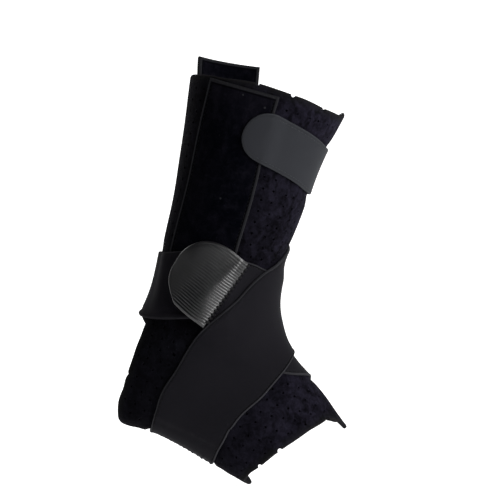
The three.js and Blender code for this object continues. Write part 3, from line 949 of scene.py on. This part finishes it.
def instances(tree, places, shape, scale=(1, 1, 1)):
    """A shape set on points, its X along their heading and its Z along their normal."""
    sockets = {
        "Primary Axis": attribute_of(tree, "normal_out", "FLOAT_VECTOR"),
        "Secondary Axis": attribute_of(tree, "heading", "FLOAT_VECTOR"),
    }
    settings = {"primary_axis": "Z", "secondary_axis": "X"}
    turn = add_node(tree, "FunctionNodeAxesToRotation", settings, sockets).outputs[0]
    sockets = {"Points": places, "Instance": object_in(tree, shape), "Rotation": turn, "Scale": scale}
    return add_node(tree, "GeometryNodeInstanceOnPoints", None, sockets).outputs[0]


def perforation_tree():
    """A wall with pits, rim notches and an outline cut out of it."""
    tree, given = node_group("perforated_wall", (), ("Pits", "Pit", "Notches", "Notch", "Outline"))
    cutters = [
        instances(tree, object_in(tree, given["Pits"]), given["Pit"]),
        instances(tree, object_in(tree, given["Notches"]), given["Notch"]),
        object_in(tree, given["Outline"]),
    ]
    join = tree.nodes.new("GeometryNodeJoinGeometry")
    for geometry in cutters:
        tree.links.new(geometry, join.inputs[0])
    cutter = add_node(tree, "GeometryNodeRealizeInstances", None, {"Geometry": join.outputs[0]}).outputs[0]
    settings = {"operation": "DIFFERENCE", "solver": "MANIFOLD"}
    sockets = {"Mesh 1": given["Geometry"], "Mesh 2": cutter}
    cut = add_node(tree, "GeometryNodeMeshBoolean", settings, sockets).outputs["Mesh"]
    return finish_tree(tree, cut, given["Finish"])


def stitch_tree():
    """A stitch set on each point, along its heading."""
    tree, given = node_group("sewn_stitches", ("Length", "Thickness"), ("Stitch",))
    sockets = {"X": given["Length"], "Y": given["Thickness"], "Z": given["Thickness"]}
    scale = add_node(tree, "ShaderNodeCombineXYZ", None, sockets).outputs[0]
    return finish_tree(tree, instances(tree, given["Geometry"], given["Stitch"], scale), given["Finish"])


def rib_tree():
    """A half round rib along each line, as thick as its points say."""
    tree, given = node_group("moulded_ribs", ("Radius",))
    lines = add_node(tree, "GeometryNodeMeshToCurve", None, {"Mesh": given["Geometry"]}).outputs[0]
    sockets = {"Resolution": 8, "Radius": given["Radius"]}
    ring = add_node(tree, "GeometryNodeCurvePrimitiveCircle", {"mode": "RADIUS"}, sockets).outputs[0]
    sockets = {"Curve": lines, "Profile Curve": ring, "Scale": attribute_of(tree, "swell"), "Fill Caps": True}
    ribs = add_node(tree, "GeometryNodeCurveToMesh", None, sockets).outputs[0]
    return finish_tree(tree, ribs, given["Finish"])


def grown(name, base, tree, **values):
    """A base object put through a tree, as a plain mesh object of its own."""
    modifier = base.modifiers.new(tree.name, "NODES")
    modifier.node_group = tree
    keys = {item.name: item.identifier for item in tree.interface.items_tree if item.in_out == "INPUT"}
    for key, value in values.items():
        modifier[keys[key.replace("_", " ")]] = value
    seen = base.evaluated_get(bpy.context.evaluated_depsgraph_get())
    mesh = bpy.data.meshes.new_from_object(seen)
    mesh.name = name
    base.modifiers.clear()
    discard(base)
    return smooth_shaded(placed(name, mesh))


def discard(*objects):
    for thing in objects:
        mesh = thing.data
        bpy.data.objects.remove(thing)
        bpy.data.meshes.remove(mesh)


def point_cloud(name, points, **vectors):
    """Loose points in millimetres, with unit vectors on them."""
    mesh = bpy.data.meshes.new(name)
    mesh.from_pydata((points.reshape(-1, 3) * MM).tolist(), [], [])
    for key, values in vectors.items():
        data = mesh.attributes.new(key, "FLOAT_VECTOR", "POINT").data
        data.foreach_set("vector", values.reshape(-1, 3).astype(np.float32).ravel())
    return placed(name, mesh)


def ring_faces(count, sides):
    """Faces of a closed shape whose points are rings, one after another."""
    faces = [tuple(range(sides - 1, -1, -1)), tuple((count - 1) * sides + k for k in range(sides))]
    for i in range(count - 1):
        for k in range(sides):
            n = (k + 1) % sides
            faces.append((i * sides + k, i * sides + n, (i + 1) * sides + n, (i + 1) * sides + k))
    return faces


def turned_shape(name, profile, sides, material):
    """A closed shape turned round Z from radii and heights, from the top down."""
    turns = np.linspace(0, 2 * np.pi, sides, endpoint=False)
    rings = [[(r * np.cos(a), r * np.sin(a), z) for a in turns] for r, z in profile]
    faces = ring_faces(len(profile), sides)
    return outward(mesh_piece(name, np.array(rings).reshape(-1, 3), faces, material))


def stitch_shape(material):
    """One stitch 1 long and 1 thick: a spindle that dips at both ends."""
    along = [(-0.5, 0.12), (-0.38, 0.4), (0.0, 0.5), (0.38, 0.4), (0.5, 0.12)]
    turns = np.linspace(0, 2 * np.pi, 6, endpoint=False)
    rings = [[(x, r * np.cos(a), r * np.sin(a) - 3.6 * x * x) for a in turns] for x, r in along]
    return outward(mesh_piece("stitch", np.array(rings).reshape(-1, 3) / MM, ring_faces(5, 6), material))


# ---- The wrap ----


def section_line(axis, level, downs):
    """The line round the form on which axis reaches level, one place per degree."""
    degrees = np.arange(-180.0, 180.0, 1.0)
    heights = form_point(downs[:, None], degrees[None, :]) @ axis
    found = [np.interp(level, heights[:, k], downs) for k in range(len(degrees))]
    return np.array(found), degrees


def perforations():
    """Staggered rows of perforations, square to the leg above the ankle and to the foot below it."""
    leg_axis = unit(np.array([-0.27, 0.0, -0.96]))
    foot_axis = unit(np.array([0.88, 0.0, -0.47]))
    places = []
    for axis, downs, first, last in (
        (leg_axis, np.linspace(0.0, 0.52, 140), -185, 30),
        (foot_axis, np.linspace(0.5, 1.0, 140), -40, 140),
    ):
        for row, level in enumerate(np.arange(first, last, PIT_ROW_RISE)):
            down, degrees = section_line(axis, level, downs)
            points = form_point(down, degrees)
            steps = np.linalg.norm(np.diff(points, axis=0), axis=1)
            length = np.concatenate([[0], np.cumsum(steps)])
            marks = np.arange(PIT_SPACING * (0.25 if row % 2 else 0.75), length[-1], PIT_SPACING)
            marks = marks + 0.7 * np.sin(marks * 1.7 + row * 2.3)
            found = np.stack([np.interp(marks, length, down), np.interp(marks, length, degrees)], -1)
            real = np.abs(form_point(*found.T) @ axis - level) < 0.5
            places.append(found[real & (found[:, 0] > downs[0] + 1e-6) & (found[:, 0] < downs[-1] - 1e-6)])
    return np.concatenate(places)


def opening_line(count=64):
    """The heel opening's outline as places on the form, once round."""
    smooth = natural_spline(HEEL_OPENING)
    down, half = np.moveaxis(smooth(np.linspace(0, len(HEEL_OPENING) - 1, count)), -1, 0)
    top = np.linspace(-half[0], half[0], 16)[1:-1]
    arch = down[0] - 0.016 * (1 - (top / half[0]) ** 2)
    bitten = half + 1.6 * bump_at(down, 0.523, 0.006)  # a perforation that the cut runs through
    return (
        np.concatenate([down, down[::-1], arch]),
        180 + np.concatenate([half, -bitten[::-1], top]),
    )


def wrap_dent(points):
    """How far the wrap lies below its form: the slow unevenness of foam that a leg fills."""
    x, y, z = np.moveaxis(points, -1, 0)
    slow = np.sin(x / 11 + z / 17) * np.sin(y / 13 - z / 23 + 1.3)
    quick = np.sin(z / 8.5 + y / 19) * np.sin(x / 15 + 0.7)
    return 0.1 + 0.17 * (slow + 0.6 * quick)


def wrap_wall(material):
    """The wall before anything is cut out of it, with rounded rims."""
    rows, columns = 104, 150
    degrees = -180 + 360 * np.arange(columns) / columns
    top, foot = rims_at(degrees)
    fine = np.array([0, 0.12, 0.35, 0.7, 1.1, 1.5]) / WRAP_LENGTH
    shares = np.concatenate([fine, np.linspace(0, 1, rows)[1:-1], 1 - fine[::-1]])
    down = top + (foot - top) * shares[:, None]
    points, _, _, normals = form_frame(down, np.broadcast_to(degrees, down.shape))
    rim = np.minimum(shares, 1 - shares)[:, None] * WRAP_LENGTH
    swell = rounded(np.broadcast_to(rim, down.shape), RIM_ROUNDING)
    sunk = wrap_dent(points) - fuller(down, degrees)
    thin = pressed(points)
    half = (WRAP_WALL - thin) / 2
    middle = sunk + thin + half
    outer = points - normals * (middle - swell * half)[..., None]
    inner = points - normals * (middle + swell * half)[..., None]
    both = np.concatenate([outer.reshape(-1, 3), inner.reshape(-1, 3)])
    return outward(mesh_piece("wrap_wall", both, sheet_faces(len(shares), columns, True), material))


def outline_cutter(material):
    """A plug of the heel opening's outline that flares at both faces of the wall, to round the cut."""
    down, degrees = opening_line()
    points, _, _, normals = form_frame(down, degrees)
    ahead = unit(np.roll(points, -1, axis=0) - np.roll(points, 1, axis=0))
    away = unit(np.cross(ahead, normals))
    centre, _, _, lean = form_frame(np.array(0.53), np.array(180.0))
    if dot(away, points - centre).sum() < 0:
        away = -away
    rings = [points + normals * height + away * flare for height, flare in OPENING_CUT]
    count = len(points)
    faces = []
    for i in range(len(rings) - 1):
        for k in range(count):
            n = (k + 1) % count
            faces.append((i * count + k, (i + 1) * count + k, (i + 1) * count + n, i * count + n))
    tip, heel = len(rings) * count, len(rings) * count + 1
    last = (len(rings) - 1) * count
    faces += [(k, (k + 1) % count, tip) for k in range(count)]
    faces += [(last + (k + 1) % count, last + k, heel) for k in range(count)]
    ends = [centre + lean * 16, centre - lean * 16]
    return outward(mesh_piece("heel_plug", np.concatenate([*rings, ends]), faces, material))


def cutter_places(name, points, normals):
    heading = unit(np.cross(normals, [0.0, 1.0, 0.0]) + 1e-3)
    return point_cloud(name, points, normal_out=normals, heading=heading)


def wrap():
    """The boot-shaped wrap with its perforations, notched rims and open heel."""
    places = perforations()
    points, _, _, normals = form_frame(places[:, 0], places[:, 1])
    top, foot = rims_at(places[:, 1])
    from_rims = np.minimum(places[:, 0] - top, foot - places[:, 0]) * WRAP_LENGTH
    _, from_heel = Layer(form_point(*opening_line(200))).nearest(points)
    from_back = 180 - np.abs((places[:, 1] + 180) % 360 - 180)
    shown = (from_rims > 4.5) & (from_heel > 3.2) & (from_back > opening_at(places[:, 0]))
    shown &= pressed(points) < PRESSED_FLAT
    for layer in laid:
        index, distance = layer.nearest(points)
        shown &= ~((distance < 2.5) & (layer.edge[index] > 3))
    sunk = points - normals * (wrap_dent(points) + pressed(points) - fuller(*places.T))[:, None]
    pits = cutter_places("pit_places", sunk[shown], normals[shown])

    degrees = np.array([degrees for _, degrees in NOTCHES], float)
    top, foot = rims_at(degrees)
    down = np.where([rim == "top" for rim, _ in NOTCHES], top, foot)
    points, _, _, normals = form_frame(down, degrees)
    notches = cutter_places("notch_places", points, normals)

    pit = turned_shape("pit", PIT_PROFILE, 10, velour)
    notch = turned_shape("notch", NOTCH_PROFILE, 14, velour)
    plug = outline_cutter(velour)
    piece = grown(
        "wrap_velour", wrap_wall(velour), perforation_tree(),
        Pits=pits, Pit=pit, Notches=notches, Notch=notch, Outline=plug, Finish=velour,
    )
    discard(pits, pit, notches, notch, plug)
    mark_wrap(piece)
    return piece


def mark_wrap(piece):
    """How far each point is from the nearest edge, and whether it is on the lining."""
    mesh = piece.data
    at = np.empty(len(mesh.vertices) * 3, np.float32)
    mesh.vertices.foreach_get("co", at)
    at = at.reshape(-1, 3) / MM
    down, degrees = np.meshgrid(np.linspace(-0.01, 1.03, 160), np.arange(-180, 180, 2.0), indexing="ij")
    points, _, _, normals = form_frame(down, degrees)
    index, _ = Layer(points).nearest(at)
    depth = dot(points.reshape(-1, 3)[index] - at, normals.reshape(-1, 3)[index])
    turn = np.arange(-180, 180, 1.0)
    top, foot = rims_at(turn)
    lines = np.concatenate([form_point(top, turn), form_point(foot, turn), form_point(*opening_line(200))])
    _, distance = Layer(lines).nearest(at)
    set_numbers(mesh, "edge", distance)
    set_numbers(mesh, "inside", eased(depth, 2.5, 3.0))
    mesh.set_sharp_from_angle(angle=np.radians(48))


wrap_piece = wrap()

# ---- Ribs and stitches ----

FINE_THREAD, STOUT_THREAD, OVERCAST_THREAD = 0.34, 0.45, 2.0
ribs, stitches = rib_tree(), stitch_tree()


def tab_ribs(name, grid):
    """Ribs square to the tab's straight edge, bold there and dying away towards its arc."""
    tip, first = STRAP_LENGTH + TAB_DEPTH, STRAP_LENGTH + 0.4
    points, lines, swell, start = [], [], [], 0
    for side in np.arange(-13, 13.5) * RIB_PITCH:
        beyond = max(0, abs(side) - (TAB_WIDTH / 2 - TAB_CORNER))
        reach = tip - TAB_CORNER + np.sqrt(max(0, (TAB_CORNER - 0.9) ** 2 - beyond**2))
        along = np.arange(first, reach, 1.2)
        found, _ = outside_at(grid, along, np.full(len(along), side), -RIB_SINK)
        points.append(found)
        from_arc = reach - along
        fade = 1 - 0.9 * eased(along - STRAP_LENGTH, 9, 31)
        rise = fade * eased(from_arc, -1, 3) * eased(along - first, -1.2, 1.4)
        swell.append(0.45 + 0.55 * rise)
        lines += [(start + k, start + k + 1) for k in range(len(along) - 1)]
        start += len(along)
    mesh = bpy.data.meshes.new(name)
    mesh.from_pydata((np.concatenate(points) * MM).tolist(), lines, [])
    set_numbers(mesh, "swell", np.concatenate(swell))
    return grown(name + "_moulded", placed(name, mesh), ribs, Radius=RIB_RADIUS * MM, Finish=tab_finish)


def sewn(name, points, headings, normals, length, thickness, finish):
    """A stitch on each point."""
    shape = stitch_shape(finish)
    cloud = point_cloud(name + "_places", points, normal_out=normals, heading=headings)
    values = {"Length": length * MM, "Thickness": thickness * MM, "Stitch": shape, "Finish": finish}
    piece = grown(name, cloud, stitches, **values)
    discard(shape)
    return piece


def half_width(grid, along, inset):
    return np.interp(along, grid["along"], np.abs(grid["across"]).max(axis=1)) - inset


def stitched(name, grid, lines, pitch, thickness, finish):
    """Stitches along lines on a piece, each given as distances along it and across it."""
    runs = []
    for along, across in lines:
        points, normals = outside_at(grid, along, across, thickness * 0.3)
        runs.append((points, unit(np.gradient(points, axis=0)), normals))
    points, headings, normals = (np.concatenate(column) for column in zip(*runs))
    return sewn(name, points, headings, normals, pitch * 0.86, thickness, finish)


def edge_stitching(name, grid, inset, pitch, finish, start, end):
    """A line of stitches a little inside each of a ribbon's long edges."""
    along = np.arange(start, end, pitch)
    half = half_width(grid, along, inset)
    return stitched(name, grid, [(along, -half), (along, half)], pitch, FINE_THREAD, finish)


def overcast(name, grid):
    """Loops of thread sewn over a tab's straight edge, down to the strap under it."""
    side = np.arange(2 - TAB_WIDTH / 2, TAB_WIDTH / 2 - 1.5, 3.1)
    rim_light_band, normals = outside_at(grid, np.full(len(side), STRAP_LENGTH + 0.1), side)
    far, _ = outside_at(grid, np.full(len(side), STRAP_LENGTH + 2.1), side + 0.9)
    heading = unit(far - rim_light_band)
    places = rim_light_band + heading * 0.4 + normals * 0.2
    return sewn(name, places, heading, normals, 5.4, OVERCAST_THREAD, cord_thread)


def end_stitching(name, grid, inset, pitch, finish, *distances):
    """A line of stitches straight across a ribbon at each of some distances along it."""
    lines = []
    for distance in distances:
        half = half_width(grid, distance, inset)
        side = np.arange(-half, half, pitch)
        lines.append((np.full(len(side), distance), side))
    return stitched(name, grid, lines, pitch, STOUT_THREAD, finish)


lateral_ribs = tab_ribs("lateral_tab_ribs", lateral_tab_grid)
medial_ribs = tab_ribs("medial_tab_ribs", medial_tab_grid)
lateral_overcast = overcast("lateral_tab_overcast", lateral_tab_grid)
medial_overcast = overcast("medial_tab_overcast", medial_tab_grid)
strap_seams = [
    edge_stitching(name, grid, 2.0, 2.6, dark_thread, 4, STRAP_LENGTH - 3)
    for name, grid in (
        ("lateral_strap_hem_stitches", lateral_strap_grid), ("medial_strap_hem_stitches", medial_strap_grid),
    )
]
panel_seams = [
    edge_stitching("lateral_panel_stitches", lateral_panel_grid, 2.9, 2.6, dark_thread, 4, 150),
    edge_stitching("medial_panel_stitches", medial_panel_grid, 2.9, 2.6, dark_thread, 4, 172),
]
shin_end, band_end = shin_grid["end"], band_grid["end"]
shin_seams = [
    edge_stitching("shin_strap_stitches", shin_grid, 2.6, 2.8, shin_thread, 17, shin_end - 3),
    end_stitching("shin_strap_end_stitches", shin_grid, 2.6, 2.8, shin_thread, shin_end - 22, shin_end - 3),
]
band_seam = end_stitching("band_end_stitches", band_grid, 3, 2.8, dark_thread, 3, band_end - 3)


# ---- Stage, lights and camera ----


def stage():
    """A floor that curves up behind the brace, just under its lowest point."""
    low = cad_box[0][2] - 0.0015
    turns = np.radians(np.arange(10, 91, 10))
    profile = [(-4.0, low), (1.6, low)]
    profile += [(1.6 + 1.2 * np.sin(a), low + 1.2 * (1 - np.cos(a))) for a in turns]
    profile.append((2.8, low + 6))
    points = [(x, y, z) for y, z in profile for x in (-7, 7)]
    faces = [(2 * i, 2 * i + 1, 2 * i + 3, 2 * i + 2) for i in range(len(profile) - 1)]
    floor = mesh_piece("studio_floor", np.array(points) / MM, faces, studio_floor())


def camera():
    """A long lens, level and square to the lateral side."""
    data = bpy.data.cameras.new("camera")
    data.lens, data.sensor_width = 133.7, 36
    data.clip_start, data.clip_end = 0.05, 50
    view = placed("camera", data)
    view.location = (0.0266, -1.3, 0.0595)
    view.rotation_euler = (np.pi / 2, 0, 0)
    bpy.context.scene.camera = view


def soft_light(name, place, target, wide, high, power, roll=0):
    """A softbox that faces its target, turned by roll degrees about the line to it."""
    data = bpy.data.lights.new(name, "AREA")
    data.shape, data.size, data.size_y, data.energy = "RECTANGLE", wide, high, power
    light = placed(name, data)
    light.location = place
    facing = (Vector(target) - Vector(place)).to_track_quat("-Z", "Y")
    light.rotation_euler = (facing @ Quaternion((0, 0, 1), np.radians(roll))).to_euler()


stage()
camera()
soft_light("key_softbox", (2.0, -1.1, 1.3), (0.02, 0, 0.04), 1.0, 1.0, 4)
# Rolled, so that its edges run with the lateral tab's slanting straight edge
soft_light("front_softbox", (1.21, -1.0, 0.4), (0.02, 0, 0.04), 1.0, 1.1, 30, -37)
soft_light("rear_softbox", (-1.6, 0.9, 1.4), (0, 0, 0.04), 0.8, 0.8, 7)
world = bpy.data.worlds.new("studio")
world.use_nodes = True
world.node_tree.nodes["Background"].inputs["Color"].default_value = (1, 1, 1, 1)
world.node_tree.nodes["Background"].inputs["Strength"].default_value = 0.07
bpy.context.scene.world = world
bpy.context.scene.view_settings.view_transform = "Standard"


# ---- Handing over to the frame ----


def dress(slot, piece, *nodes):
    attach(piece, "root")
    if nodes:
        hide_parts(*nodes)


dress("wrap_velour", wrap_piece, "wrap_shell")
dress("panel_velour", lateral_panel, "lateral_stay_panel")
dress("panel_velour", medial_panel, "medial_stay_panel")
dress("strap_cloth", band, "achilles_band")
dress("strap_cloth", medial_strap, "medial_strap")
dress("strap_cloth", lateral_strap, "lateral_strap")
dress("tab_plastic", lateral_tab, "lateral_hook_tab")
dress("tab_plastic", medial_tab, "medial_hook_tab")
dress("shin_strap_cloth", shin, "shin_strap")
for slot, pieces in {
    "tab_plastic": [lateral_ribs, medial_ribs, lateral_overcast, medial_overcast],
    "strap_cloth": [*strap_seams, band_seam],
    "panel_velour": panel_seams,
    "shin_strap_cloth": shin_seams,
}.items():
    for piece in pieces:
        dress(slot, piece)


def cut_sheet(grid):
    """A ribbon's size and area cut flat to its own widths and length, worked out and not used."""
    along, widths = grid["along"], np.ptp(grid["across"], axis=1)
    flat = (float(widths.max()) * MM, float(along[-1] - along[0]) * MM)
    area = float((np.diff(along) * (widths[1:] + widths[:-1]) / 2).sum()) * MM * MM


def wrap_cut():
    """The wrap's greatest girth and length, and the area between its rims without the heel opening."""
    degrees = np.arange(-180, 181, 2.0)
    top, foot = rims_at(degrees)
    shares = np.linspace(0, 1, 120)[:, None]
    down = top + (foot - top) * shares
    points = form_point(down, np.broadcast_to(degrees, down.shape))
    by_row = points[1:, :-1] - points[:-1, :-1]
    by_column = points[:-1, 1:] - points[:-1, :-1]
    cells = np.linalg.norm(np.cross(by_row, by_column), axis=-1)
    middle = (down[1:, :-1] + down[:-1, :-1]) / 2
    kept = 180 - np.abs(degrees[:-1]) > opening_at(middle)
    girth = np.linalg.norm(by_column, axis=-1).sum(axis=1).max()
    length = np.linalg.norm(by_row, axis=-1).sum(axis=0).max()
    return (float(girth) * MM, float(length) * MM), float((cells * kept).sum()) * MM * MM


size, area = wrap_cut()
cut_sheet(lateral_panel_grid)
cut_sheet(medial_panel_grid)
cut_sheet(band_grid)
cut_sheet(medial_strap_grid)
cut_sheet(lateral_strap_grid)
cut_sheet(shin_grid)
